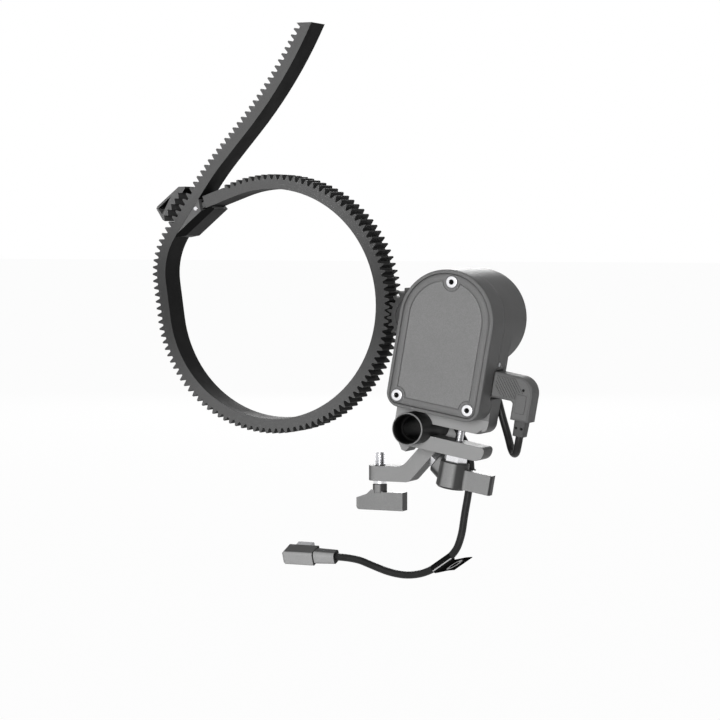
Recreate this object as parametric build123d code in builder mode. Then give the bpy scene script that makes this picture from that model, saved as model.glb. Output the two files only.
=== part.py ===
import os
from math import acos, atan2, cos, degrees, pi, radians, sin, tan
from build123d import *

# Powered follow focus unit: a toothed belt ring round the lens, driven by a motor unit
# that hangs on a short tube, which a Z-shaped arm carries. Millimetres, +Z up, front = -Y.
# Origin: the arm's top face on the axis of the thumb screw that fixes it.

# ---- driving dimensions ----
MODULE = 0.8                # lens gear standard
RING_TEETH = 114            # teeth on a full circle of the belt
DRIVE_TEETH = 24
PINION_TEETH = 12
PRESSURE_ANGLE = 20.0
BACKLASH = 0.30             # taken off each wheel tooth at the pitch circle
BELT_WIDTH = 11.0
BELT_BACK = 3.4             # belt thickness under the teeth
GEAR_WIDTH = 8.0
ROLL = 10.0                 # motor unit leans clockwise about its tube
MESH_ANGLE = -3.7           # direction from the lens axis to the drive gear

LENS_AT = (-30.8, 58.8)     # lens axis, x and z
BELT_Y = -21.5              # belt mid-plane

CASE_RADIUS = 17.5
CASE_DROP = 33.2            # arch centre to the bottom of the front case
CASE_WALL = 2.2
CASE_FRONT = -10.0          # depths are measured back from the belt mid-plane
CASE_SEAM = 2.0
CASE_BACK = 10.5
MOTOR_BACK = 22.0
CASE_CORNER = 5.0

TUBE_RADIUS = 5.75
TUBE_WALL = 0.9
TUBE_BORE = 3.9             # radius behind the wider mouths
TUBE_MOUTH = 6.0
TUBE_AT = (-8.5, -40.4)     # tube axis from the arch centre, in the leaning frame
TUBE_FRONT = -7.6
TUBE_LENGTH = 40.0
CLAMP_SLIT = 4.3
JAW_DROP = 7.3              # tube axis to the underside of the lower jaw
CLAMP_BOLT_AT = 14.5        # clamp bolt to tube axis

ARM_FRONT = 17.5
ARM_DEPTH = 8.0
ARM_BAR = 5.5               # height of the level bar
ARM_SLOPE = 47.3            # slope of the diagonal
ARM_STRUT = 5.4             # thickness of the diagonal
ARM_SLIT = 2.8
ARM_JAW_END = 15.9          # tube axis to the jaw tips
ARM_BOLT_AT = 9.3
ARM_RING = 9.2              # outer radius round the tube

STUD_RADIUS = 2.0           # M4 thumb screw
STUD_REACH = 5.0            # thread above the arm
STUD_NECK = 1.6             # plain neck that keeps the screw in the arm
BOLT_RADIUS = 1.5           # M3 clamp bolts
RUN_FIT = 0.05              # radial running clearance
LOOSE_FIT = 0.15

CABLE_RADIUS = 1.35

# ---- derived ----
PITCH = pi * MODULE
RING_PITCH_R = RING_TEETH * MODULE / 2
DRIVE_PITCH_R = DRIVE_TEETH * MODULE / 2
PINION_PITCH_R = PINION_TEETH * MODULE / 2
ADDENDUM = MODULE
DEDENDUM = 1.25 * MODULE
BELT_INNER_R = RING_PITCH_R - DEDENDUM - BELT_BACK
CENTRES = RING_PITCH_R + DRIVE_PITCH_R
GEAR_AT = (CENTRES * cos(radians(MESH_ANGLE)), CENTRES * sin(radians(MESH_ANGLE)))
RIGHT = (cos(radians(ROLL)), -sin(radians(ROLL)))     # leaning frame, in x and z
UP = (sin(radians(ROLL)), cos(radians(ROLL)))
PINION_RISE = 1.5
PINION_RUN = (((DRIVE_PITCH_R + PINION_PITCH_R) ** 2) - PINION_RISE ** 2) ** 0.5
ARCH_AT = (
    GEAR_AT[0] + PINION_RUN * RIGHT[0] + PINION_RISE * UP[0],
    GEAR_AT[1] + PINION_RUN * RIGHT[1] + PINION_RISE * UP[1],
)
GEAR_UV = (-PINION_RUN, -PINION_RISE)
TUBE_XZ = (
    ARCH_AT[0] + TUBE_AT[0] * RIGHT[0] + TUBE_AT[1] * UP[0],
    ARCH_AT[1] + TUBE_AT[0] * RIGHT[1] + TUBE_AT[1] * UP[1],
)


def front_plane(x, z, depth, roll=0.0):
    """A plane that faces the front: local x to the right, local y up, leaning by roll."""
    lean = radians(roll)
    return Plane(
        origin=(LENS_AT[0] + x, BELT_Y + depth, LENS_AT[1] + z),
        x_dir=(cos(lean), 0, -sin(lean)),
        z_dir=(0, -1, 0),
    )


def lens_plane(depth):
    return front_plane(0, 0, depth)


def unit_plane(depth):
    """Front-facing plane of the leaning motor unit, centred on its arch."""
    return front_plane(ARCH_AT[0], ARCH_AT[1], depth, ROLL)


def unit_point(u, v, depth):
    """World point of a place in the leaning motor unit."""
    return (
        LENS_AT[0] + ARCH_AT[0] + u * RIGHT[0] + v * UP[0],
        BELT_Y + depth,
        LENS_AT[1] + ARCH_AT[1] + u * RIGHT[1] + v * UP[1],
    )


def side_plane(u, v, depth):
    """Plane facing the right side of the leaning unit: local x back, local y up."""
    return Plane(unit_point(u, v, depth), x_dir=(0, 1, 0), z_dir=(RIGHT[0], 0, RIGHT[1]))


def saved(shape, name):
    """Label a finished piece and write it."""
    shape.label = name
    export_step(shape, f"parts/{name}.step")


os.makedirs("parts", exist_ok=True)


# ---- toothed belt ----
START_ANGLE = 109.5         # where the fixed end leaves the lens circle
LIFT_ANGLE = 188.0          # where the free end lifts off it
ANCHOR_RUN = 13.0
LIFT_RUN = 13.5
LIFT_BEND = (20.8, 43.2)    # length along the pitch line, clockwise turn
BUCKLE_RUN = 21.1
TAIL_BENDS = ((13.1, 6.6), (14.3, 0.0), (47.5, -16.8))
TAIL_TRIM = 99.8            # height over the lens axis of the free end's level cut
NECK_TEETH_OFF = 9.0        # toothless length at the fixed end

ring_sweep = 360 + START_ANGLE - LIFT_ANGLE
inner_to_pitch = RING_PITCH_R - BELT_INNER_R
runs = [
    (ANCHOR_RUN, 0.0),
    (radians(ring_sweep) * RING_PITCH_R, ring_sweep),
    (LIFT_RUN, 0.0),
    LIFT_BEND,
    (BUCKLE_RUN, 0.0),
    *TAIL_BENDS,
]
belt_length = sum(length for length, turn in runs)
buckle_mid = sum(length for length, turn in runs[:4]) + BUCKLE_RUN / 2


def belt_start():
    """Place and heading of the pitch line at the fixed end."""
    heading = START_ANGLE - 90
    x = RING_PITCH_R * cos(radians(START_ANGLE)) - ANCHOR_RUN * cos(radians(heading))
    z = RING_PITCH_R * sin(radians(START_ANGLE)) - ANCHOR_RUN * sin(radians(heading))
    return x, z, heading


def belt_station(s, offset=0.0):
    """Point at length s along the pitch line, offset outward, with the heading there."""
    x, z, heading = belt_start()
    for length, turn in runs:
        step = min(s, length)
        swing = radians(turn) * step / length
        if turn:
            radius = length / radians(turn)
            chord = 2 * radius * sin(swing / 2)
        else:
            chord = step
        course = radians(heading) - swing / 2
        x += chord * cos(course)
        z += chord * sin(course)
        heading -= degrees(swing)
        s -= step
        if s <= 0:
            break
    side = radians(heading + 90)
    return x + offset * cos(side), z + offset * sin(side), heading


def tooth_corners(s):
    """The four corners of the belt tooth centred at length s."""
    x, z, heading = belt_station(s)
    along, out = radians(heading), radians(heading + 90)
    flank = tan(radians(PRESSURE_ANGLE))
    root_half = PITCH / 4 + DEDENDUM * flank - BACKLASH / 4
    tip_half = PITCH / 4 - ADDENDUM * flank - BACKLASH / 4
    profile = ((-root_half, -DEDENDUM), (-tip_half, ADDENDUM), (tip_half, ADDENDUM), (root_half, -DEDENDUM))
    return [(x + a * cos(along) + n * cos(out), z + a * sin(along) + n * sin(out)) for a, n in profile]


mesh_station = ANCHOR_RUN + radians(START_ANGLE - MESH_ANGLE) * RING_PITCH_R
first_tooth = mesh_station % PITCH
while first_tooth < NECK_TEETH_OFF:
    first_tooth += PITCH
tooth_count = int((belt_length - first_tooth - PITCH / 2) / PITCH) + 1

# the neck before the first tooth is as high as the pitch line
outer_edge = [belt_station(reach)[:2] for reach in (0, first_tooth - PITCH / 2)]
for tooth in range(tooth_count):
    outer_edge += tooth_corners(first_tooth + tooth * PITCH)
outer_edge.append(belt_station(belt_length, -DEDENDUM)[:2])

# ---- buckle frame: local x along its base, local y outward from the lens ----
BUCKLE_AT = (42.12, 133.6)  # from the lens axis: distance, direction
BASE_HEADING = 40.7
BASE_LOW = -0.75
BASE_LEFT, BASE_RIGHT = -8.8, 6.5
LIP_TOP = 0.35
WEDGE_STEPS = (-11.1, -10.4, 5.9)        # along the belt from mid buckle
WEDGE_FOOT = (2.6, 1.9)
PIN_AT = (1.4, 3.75)
PIN_RADIUS = 0.8
EYE_RADIUS = 1.25
TONGUE_HALF = 0.9
TONGUE_ROOT = ((6.2, 1.9), (6.9, 3.9))
TONGUE_WIDTH = 6.4
POCKET_TOP = 5.2            # open end of the tongue's pocket
RACK_DEPTH = 1.5            # height of the rack teeth
RACK_GAP = 1.5              # belt tips to rack tips
RACK_LEFT = -9.95
RACK_TEETH = 5
RACK_WEB = 2.3              # rack tips to the relief
COVER_TOP = 14.3
RELIEF_LEFT, RELIEF_RIGHT = -10.2, -3.4
RELIEF_RIM = 0.55
REAR_WALL = 1.25
STRAP_GAP = 0.25            # belt's rear edge to that wall
BUCKLE_BACK = BELT_WIDTH / 2 + STRAP_GAP + REAR_WALL
BASE_BEVEL = 2.2


def buckle_plane(depth):
    radius, angle = BUCKLE_AT[0], radians(BUCKLE_AT[1])
    return front_plane(radius * cos(angle), radius * sin(angle), depth, -BASE_HEADING)


def in_buckle(x, z):
    """Buckle-frame place of a lens-frame point."""
    x -= BUCKLE_AT[0] * cos(radians(BUCKLE_AT[1]))
    z -= BUCKLE_AT[0] * sin(radians(BUCKLE_AT[1]))
    along = radians(BASE_HEADING)
    return x * cos(along) + z * sin(along), z * cos(along) - x * sin(along)


def belt_line(s, clear):
    """Height over the buckle base of the straight belt's inner face plus clear, at place s."""
    x, z, heading = belt_station(buckle_mid, clear - inner_to_pitch)
    s0, n0 = in_buckle(x, z)
    return n0 + (s - s0) * tan(radians(heading - BASE_HEADING))


with BuildPart() as gear_belt:
    with BuildSketch(lens_plane(-BELT_WIDTH / 2)):
        with BuildLine():
            Polyline(*outer_edge)
            Line(outer_edge[-1], belt_station(belt_length, -inner_to_pitch)[:2])
            reach = 0.0
            for length, turn in runs:
                ends = [belt_station(reach + part * length, -inner_to_pitch)[:2] for part in (0, 0.5, 1)]
                if turn:
                    ThreePointArc(*ends)
                else:
                    Line(ends[0], ends[2])
                reach += length
            Line(belt_station(0, -inner_to_pitch)[:2], outer_edge[0])
        make_face()
    extrude(amount=-BELT_WIDTH)
    # level cut of the free end
    with BuildSketch(lens_plane(-BELT_WIDTH / 2)):
        with Locations((belt_station(belt_length)[0], TAIL_TRIM + BELT_WIDTH / 2)):
            Rectangle(2 * BELT_WIDTH, BELT_WIDTH)
    extrude(amount=-BELT_WIDTH, mode=Mode.SUBTRACT)
    # tongue with an eye for the cross pin
    with BuildSketch(buckle_plane(-TONGUE_WIDTH / 2)):
        with Locations(PIN_AT):
            Circle(EYE_RADIUS)
        with BuildLine():
            Polyline(
                (PIN_AT[0], PIN_AT[1] - TONGUE_HALF), *TONGUE_ROOT,
                (PIN_AT[0], PIN_AT[1] + TONGUE_HALF), close=True,
            )
        make_face()
    extrude(amount=-TONGUE_WIDTH)
    with BuildSketch(buckle_plane(-TONGUE_WIDTH / 2)):
        with Locations(PIN_AT):
            Circle(PIN_RADIUS + RUN_FIT)
    extrude(amount=-TONGUE_WIDTH, mode=Mode.SUBTRACT)
saved(gear_belt.part, "gear_belt")

# rack teeth point at the belt along its heading
rack_slope = LIFT_ANGLE - 90 - LIFT_BEND[1] - BASE_HEADING
rack_tip = BELT_BACK + DEDENDUM + ADDENDUM + RACK_GAP
rack_pitch = PITCH * cos(radians(rack_slope))
rack_edge = []
for tooth in range(RACK_TEETH):
    valley = RACK_LEFT + tooth * rack_pitch
    tip = valley + rack_pitch / 2
    rack_edge.append((valley, belt_line(valley, rack_tip + RACK_DEPTH)))
    rack_edge.append((tip, belt_line(tip, rack_tip)))
wedge_edge = []
for step in WEDGE_STEPS:
    x, z, heading = belt_station(buckle_mid + step, -inner_to_pitch - RUN_FIT)
    wedge_edge.append(in_buckle(x, z))
cover_edge = (
    (3.0, belt_line(3.0, rack_tip)), (3.4, COVER_TOP - 1.75), (1.4, COVER_TOP - 0.1), (-9.9, COVER_TOP + 0.3),
    (-10.8, COVER_TOP - 0.1), (-11.45, 9.4), (-11.1, belt_line(-11.1, rack_tip)),
)

with BuildPart() as buckle:
    # base and wedge, one section across the strap
    with BuildSketch(buckle_plane(-BELT_WIDTH / 2)):
        with BuildLine():
            Polyline(
                (BASE_LEFT, BASE_LOW + 0.3), (BASE_RIGHT, BASE_LOW), (BASE_RIGHT, LIP_TOP),
                (WEDGE_FOOT[0] + 0.6, LIP_TOP + 0.9), WEDGE_FOOT, *reversed(wedge_edge), close=True,
            )
        make_face()
    extrude(amount=-(BELT_WIDTH / 2 + BUCKLE_BACK))
    # cover with its rack, open to the front
    with BuildSketch(buckle_plane(-BELT_WIDTH / 2)):
        with BuildLine():
            Polyline(*rack_edge, *cover_edge, close=True)
        make_face()
    extrude(amount=-(BELT_WIDTH / 2 + BUCKLE_BACK))
    # rear wall joins them behind the strap
    with BuildSketch(buckle_plane(BUCKLE_BACK - REAR_WALL)):
        with BuildLine():
            Polyline(
                (BASE_LEFT, BASE_LOW + 0.3), (BASE_RIGHT, BASE_LOW), (BASE_RIGHT, 4.5), (5.6, 10.4),
                *cover_edge[1:-1], wedge_edge[0], close=True,
            )
        make_face()
    extrude(amount=-REAR_WALL)
    # three-cornered relief in the cover
    with BuildSketch(buckle_plane(-BELT_WIDTH / 2)):
        with BuildLine():
            Polyline(
                (RELIEF_LEFT, COVER_TOP - RELIEF_RIM), (RELIEF_RIGHT, COVER_TOP - RELIEF_RIM - 0.1),
                (RELIEF_LEFT - 0.1, belt_line(RELIEF_LEFT - 0.1, rack_tip + RACK_WEB)), close=True,
            )
        make_face()
    extrude(amount=-(BELT_WIDTH - 1.0), mode=Mode.SUBTRACT)
    # pocket for the tongue and bore for its pin
    with BuildSketch(buckle_plane(-TONGUE_WIDTH / 2 - LOOSE_FIT)):
        with Locations(PIN_AT):
            Circle(EYE_RADIUS + LOOSE_FIT)
        with BuildLine():
            Polyline(
                (PIN_AT[0], PIN_AT[1] - TONGUE_HALF - LOOSE_FIT),
                (BASE_RIGHT, TONGUE_ROOT[0][1] - 2 * LOOSE_FIT),
                (BASE_RIGHT, POCKET_TOP),
                (PIN_AT[0], PIN_AT[1] + TONGUE_HALF + LOOSE_FIT), close=True,
            )
        make_face()
    extrude(amount=-(TONGUE_WIDTH + 2 * LOOSE_FIT), mode=Mode.SUBTRACT)
    with BuildSketch(buckle_plane(-BELT_WIDTH / 2)):
        with Locations(PIN_AT):
            Circle(PIN_RADIUS)
    extrude(amount=-(BELT_WIDTH / 2 + BUCKLE_BACK), mode=Mode.SUBTRACT)
    lens_side = buckle.edges().filter_by(GeomType.LINE).group_by(Axis.Y)[0]
    lens_side = lens_side.sort_by_distance((LENS_AT[0], BELT_Y, LENS_AT[1]))[0]
    chamfer(lens_side, BASE_BEVEL)
saved(buckle.part, "buckle")

with BuildPart() as buckle_pin:
    with BuildSketch(buckle_plane(-BELT_WIDTH / 2 - 0.15)):
        with Locations(PIN_AT):
            Circle(PIN_RADIUS)
    extrude(amount=-(BELT_WIDTH / 2 + 0.15 + BUCKLE_BACK))
    chamfer(buckle_pin.edges().group_by(Axis.Y)[0], 0.2)
saved(buckle_pin.part, "buckle_pin")


# ---- wheels ----
def wheel_points(teeth, phase):
    """Closed involute outline of a spur wheel with a tooth centred at angle phase."""
    pitch_r = teeth * MODULE / 2
    base_r = pitch_r * cos(radians(PRESSURE_ANGLE))
    tip_r = pitch_r + ADDENDUM
    root_r = pitch_r - DEDENDUM
    half = (PITCH / 2 - BACKLASH) / (2 * pitch_r)
    inv_pitch = tan(radians(PRESSURE_ANGLE)) - radians(PRESSURE_ANGLE)
    start_r = max(base_r, root_r)
    flank = []
    for step in range(5):
        r = start_r + (tip_r - start_r) * step / 4
        roll_angle = acos(min(1.0, base_r / r))
        flank.append((r, half + inv_pitch - (tan(roll_angle) - roll_angle)))
    points = []
    for tooth in range(teeth):
        centre = radians(phase + 360 * tooth / teeth)
        points.append((root_r * cos(centre - flank[0][1]), root_r * sin(centre - flank[0][1])))
        points += [(r * cos(centre - a), r * sin(centre - a)) for r, a in flank]
        points += [(r * cos(centre + a), r * sin(centre + a)) for r, a in reversed(flank)]
        points.append((root_r * cos(centre + flank[0][1]), root_r * sin(centre + flank[0][1])))
    return points


# tooth phases in the leaning frame, so that all three wheels mesh at rest
drive_phase = MESH_ANGLE + ROLL + 180 + 180 / DRIVE_TEETH
to_pinion = degrees(atan2(PINION_RISE, PINION_RUN))
drive_slip = (drive_phase - to_pinion) % (360 / DRIVE_TEETH)
pinion_phase = to_pinion + 180 - drive_slip * DRIVE_TEETH / PINION_TEETH + 180 / PINION_TEETH

SHAFT_RADIUS = 1.5
BUSH_RADIUS = 2.5
WEB_FRONT, WEB_BACK = -8.3, -6.3        # bulkhead of the front case
FLOOR_FRONT = 5.3                       # floor of the rear case
FLANGE = 0.8
HUB_RADIUS = 4.2
NECK_RADIUS = 2.3           # hub where it passes the casing walls
NECK_ROOM = 2.6

drive_edge = [(x + GEAR_UV[0], y + GEAR_UV[1]) for x, y in wheel_points(DRIVE_TEETH, drive_phase)]

with BuildPart() as drive_gear:
    with BuildSketch(unit_plane(-GEAR_WIDTH / 2)):
        with Locations(GEAR_UV):
            with BuildLine():
                Polyline(*drive_edge, close=True)
            make_face()
    extrude(amount=-GEAR_WIDTH)
    # shallow dish in each face, hub left standing
    for face_depth in (-GEAR_WIDTH / 2, GEAR_WIDTH / 2 - 0.6):
        with BuildSketch(unit_plane(face_depth)):
            with Locations(GEAR_UV):
                Circle(DRIVE_PITCH_R - 2.6)
                Circle(HUB_RADIUS, mode=Mode.SUBTRACT)
        extrude(amount=-0.6, mode=Mode.SUBTRACT)
    with BuildSketch(unit_plane(WEB_BACK + 0.1)):
        with Locations(GEAR_UV):
            Circle(NECK_RADIUS)
    extrude(amount=-(FLOOR_FRONT - WEB_BACK - 0.2))
    with BuildSketch(unit_plane(WEB_BACK)):
        with Locations(GEAR_UV):
            Circle(SHAFT_RADIUS)
    extrude(amount=-(FLOOR_FRONT - WEB_BACK), mode=Mode.SUBTRACT)
saved(drive_gear.part, "drive_gear")


def rod_part(name, uv, front, back, radius, edge=0.2):
    """A plain round bar along the depth of the motor unit."""
    with BuildPart() as bar:
        with BuildSketch(unit_plane(front)):
            with Locations(uv):
                Circle(radius)
        extrude(amount=-(back - front))
        chamfer(bar.edges().filter_by(GeomType.CIRCLE), edge)
    saved(bar.part, name)


rod_part("drive_shaft", GEAR_UV, WEB_FRONT + 0.1, CASE_BACK - 2.4, SHAFT_RADIUS)

with BuildPart() as shaft_bushes:
    for bush_front, bush_back in ((WEB_FRONT, WEB_BACK), (FLOOR_FRONT, CASE_BACK - 2.2)):
        with BuildSketch(unit_plane(bush_front)):
            with Locations(GEAR_UV):
                Circle(BUSH_RADIUS)
                Circle(SHAFT_RADIUS + RUN_FIT / 2, mode=Mode.SUBTRACT)
        extrude(amount=-(bush_back - bush_front))
saved(shaft_bushes.part, "shaft_bushes")

GEARBOX_RADIUS = 10.5
GEARBOX_FRONT = 4.8
CAN_RADIUS = 12.0
MOTOR_SHAFT_FRONT = -4.6

with BuildPart() as motor_pinion:
    with BuildSketch(unit_plane(-GEAR_WIDTH / 2)):
        with BuildLine():
            Polyline(*wheel_points(PINION_TEETH, pinion_phase), close=True)
        make_face()
        Circle(SHAFT_RADIUS, mode=Mode.SUBTRACT)
    extrude(amount=-GEAR_WIDTH)
saved(motor_pinion.part, "motor_pinion")
rod_part("motor_shaft", (0, 0), MOTOR_SHAFT_FRONT, CASE_BACK, SHAFT_RADIUS)

with BuildPart() as gearbox:
    with BuildSketch(unit_plane(GEARBOX_FRONT)):
        Circle(GEARBOX_RADIUS)
    extrude(amount=-(CASE_BACK - GEARBOX_FRONT + 2.0))
    with BuildSketch(unit_plane(CASE_BACK)):
        Circle(GEARBOX_RADIUS + 2.5)
    extrude(amount=-1.6)
    with BuildSketch(unit_plane(GEARBOX_FRONT)):
        Circle(SHAFT_RADIUS + RUN_FIT)
    extrude(amount=-(CASE_BACK - GEARBOX_FRONT + 0.6), mode=Mode.SUBTRACT)
saved(gearbox.part, "gearbox")

with BuildPart() as motor_can:
    with BuildSketch(unit_plane(CASE_BACK + 2.0)):
        Circle(CAN_RADIUS)
    extrude(amount=-(MOTOR_BACK - CASE_BACK - 2.0 - 2.0))
    fillet(motor_can.edges().group_by(Axis.Y)[-1], 0.8)
saved(motor_can.part, "motor_can")

# ---- motor unit casings ----
SCREW_INSET = 4.1
SCREW_AT = (
    (0, CASE_RADIUS - SCREW_INSET),
    (-CASE_RADIUS + SCREW_INSET, -CASE_DROP + SCREW_INSET),
    (CASE_RADIUS - SCREW_INSET, -CASE_DROP + SCREW_INSET),
)
SCREW_HEAD = 2.1
SCREW_PROUD = 0.35
SCREW_SUNK = 1.1
SCREW_KEY = 0.95
SCREW_SHANK = 1.0
COVER_INSET = 1.2
COVER_CORNER = 4.2
COVER_THICK = 1.6
COVER_GAP = 0.25
PANEL_INSET = 4.0
PANEL_DEPTH = 0.5
PANEL_NOTCH = 3.3
PANEL_GAP = 0.3
CAP_SCREW_R = CASE_RADIUS - 3.6
CAP_SCREW_SHANK = 0.8
CAP_BOSS = 6.0
WINDOW_RADIUS = DRIVE_PITCH_R + ADDENDUM + 0.6
WINDOW_HALF = GEAR_WIDTH / 2 + 0.5
SOCKET_AT = (-20.0, 4.8)                # height in the leaning frame, depth
SOCKET = (3.2, 7.5)                     # across, up
RECESS = 10.2
LED_AT = (-12.8, 3.2)


def arch(inset=0.0, drop=CASE_DROP, left=CASE_CORNER, right=CASE_CORNER):
    """The D-shaped outline of the case with rounded lower corners, as a flat sketch."""
    r = CASE_RADIUS - inset
    low = -drop + inset
    with BuildSketch(Plane.XY) as outline:
        with BuildLine():
            ThreePointArc((-r, 0), (0, r), (r, 0))
            Polyline((r, 0), (r, low), (-r, low), (-r, 0))
        make_face()
        fillet(outline.vertices().group_by(Axis.Y)[0].sort_by(Axis.X)[0], max(left - inset, 0.6))
        fillet(outline.vertices().group_by(Axis.Y)[0].sort_by(Axis.X)[-1], max(right - inset, 0.6))
    return outline.sketch


def round_bar(uv, front, back, radius):
    """A plain cylinder along the depth of the leaning motor unit."""
    with BuildPart() as bar:
        with BuildSketch(unit_plane(front)):
            with Locations(uv):
                Circle(radius)
        extrude(amount=-(back - front))
    return bar.part


with BuildPart() as front_case:
    with BuildSketch(unit_plane(CASE_FRONT)):
        add(arch())
    extrude(amount=-(CASE_SEAM - CASE_FRONT))
    fillet(front_case.edges().group_by(Axis.Y)[0], 0.7)
    # rebate for the cover, then the room behind the bulkhead
    with BuildSketch(unit_plane(CASE_FRONT)):
        add(arch(COVER_INSET, left=COVER_CORNER, right=COVER_CORNER))
    extrude(amount=-(WEB_FRONT - CASE_FRONT), mode=Mode.SUBTRACT)
    with BuildSketch(unit_plane(WEB_BACK)):
        add(arch(CASE_WALL))
        for u, v in SCREW_AT:
            with Locations((u, v)):
                Circle(SCREW_SHANK + 1.6, mode=Mode.SUBTRACT)
    extrude(amount=-(CASE_SEAM - WEB_BACK), mode=Mode.SUBTRACT)
    add(round_bar(GEAR_UV, -WINDOW_HALF, CASE_SEAM, WINDOW_RADIUS), mode=Mode.SUBTRACT)
    add(round_bar(GEAR_UV, WEB_BACK, CASE_SEAM, NECK_ROOM), mode=Mode.SUBTRACT)
    with BuildSketch(unit_plane(WEB_FRONT)):
        with Locations(GEAR_UV):
            Circle(BUSH_RADIUS)
        for u, v in SCREW_AT:
            with Locations((u, v)):
                Circle(SCREW_SHANK)
    extrude(amount=-(WEB_BACK - WEB_FRONT + 4.0), mode=Mode.SUBTRACT)
    # recess round the socket
    with BuildSketch(side_plane(CASE_RADIUS, *SOCKET_AT)):
        Rectangle(RECESS, RECESS)
    extrude(amount=-1.2, mode=Mode.SUBTRACT)
saved(front_case.part, "front_case")

with BuildPart() as front_cover:
    with BuildSketch(unit_plane(WEB_FRONT - COVER_THICK)):
        add(arch(COVER_INSET + COVER_GAP, left=COVER_CORNER, right=COVER_CORNER))
    extrude(amount=-COVER_THICK)
    fillet(front_cover.edges().group_by(Axis.Y)[0], 0.25)
    with BuildSketch(unit_plane(WEB_FRONT - COVER_THICK)):
        add(arch(PANEL_INSET - PANEL_GAP))
        for u, v in SCREW_AT:
            with Locations((u, v)):
                Circle(PANEL_NOTCH - PANEL_GAP, mode=Mode.SUBTRACT)
    extrude(amount=-PANEL_DEPTH, mode=Mode.SUBTRACT)
    with BuildSketch(unit_plane(WEB_FRONT - COVER_THICK)):
        for u, v in SCREW_AT:
            with Locations((u, v)):
                Circle(SCREW_HEAD + 0.1)
    extrude(amount=-SCREW_SUNK, mode=Mode.SUBTRACT)
    with BuildSketch(unit_plane(WEB_FRONT - COVER_THICK)):
        for u, v in SCREW_AT:
            with Locations((u, v)):
                Circle(SCREW_SHANK + RUN_FIT)
    extrude(amount=-COVER_THICK, mode=Mode.SUBTRACT)
saved(front_cover.part, "front_cover")

with BuildPart() as label_panel:
    with BuildSketch(unit_plane(WEB_FRONT - COVER_THICK)):
        add(arch(PANEL_INSET))
        for u, v in SCREW_AT:
            with Locations((u, v)):
                Circle(PANEL_NOTCH, mode=Mode.SUBTRACT)
    extrude(amount=-PANEL_DEPTH)
    chamfer(label_panel.edges().group_by(Axis.Y)[0], 0.12)
saved(label_panel.part, "label_panel")

with BuildPart() as cover_screws:
    for u, v in SCREW_AT:
        with BuildSketch(unit_plane(WEB_FRONT - COVER_THICK - SCREW_PROUD)):
            with Locations((u, v)):
                Circle(SCREW_HEAD)
        extrude(amount=-(SCREW_PROUD + SCREW_SUNK))
        with BuildSketch(unit_plane(WEB_FRONT - COVER_THICK + SCREW_SUNK)):
            with Locations((u, v)):
                Circle(SCREW_SHANK)
        extrude(amount=-4.0)
    fillet(cover_screws.edges().group_by(Axis.Y)[0], 0.45)
    with BuildSketch(unit_plane(WEB_FRONT - COVER_THICK - SCREW_PROUD)):
        for u, v in SCREW_AT:
            with Locations((u, v)):
                RegularPolygon(SCREW_KEY, 6)
    extrude(amount=-0.9, mode=Mode.SUBTRACT)
saved(cover_screws.part, "cover_screws")

FOOT_CORNERS = (6.5, 3.4)   # left and right
LIP_ROUND = 1.3
foot_drop = -TUBE_AT[1] + JAW_DROP
bolt_uv = (TUBE_AT[0] + CLAMP_BOLT_AT, TUBE_AT[1])
bolt_depth = (CASE_SEAM + CASE_BACK) / 2

# plate outline with its clamp foot, slit from the tube's bore to the right edge
with BuildSketch(Plane.XY) as foot_outline:
    add(arch(drop=foot_drop, left=FOOT_CORNERS[0], right=FOOT_CORNERS[1]))
    with Locations((TUBE_AT[0] + CASE_RADIUS, TUBE_AT[1])):
        Rectangle(2 * CASE_RADIUS, CLAMP_SLIT, mode=Mode.SUBTRACT)
    fillet(foot_outline.vertices().group_by(Axis.X)[-1].sort_by(Axis.Y)[1], LIP_ROUND)
    with Locations(TUBE_AT):
        Circle(TUBE_RADIUS + RUN_FIT, mode=Mode.SUBTRACT)

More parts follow.
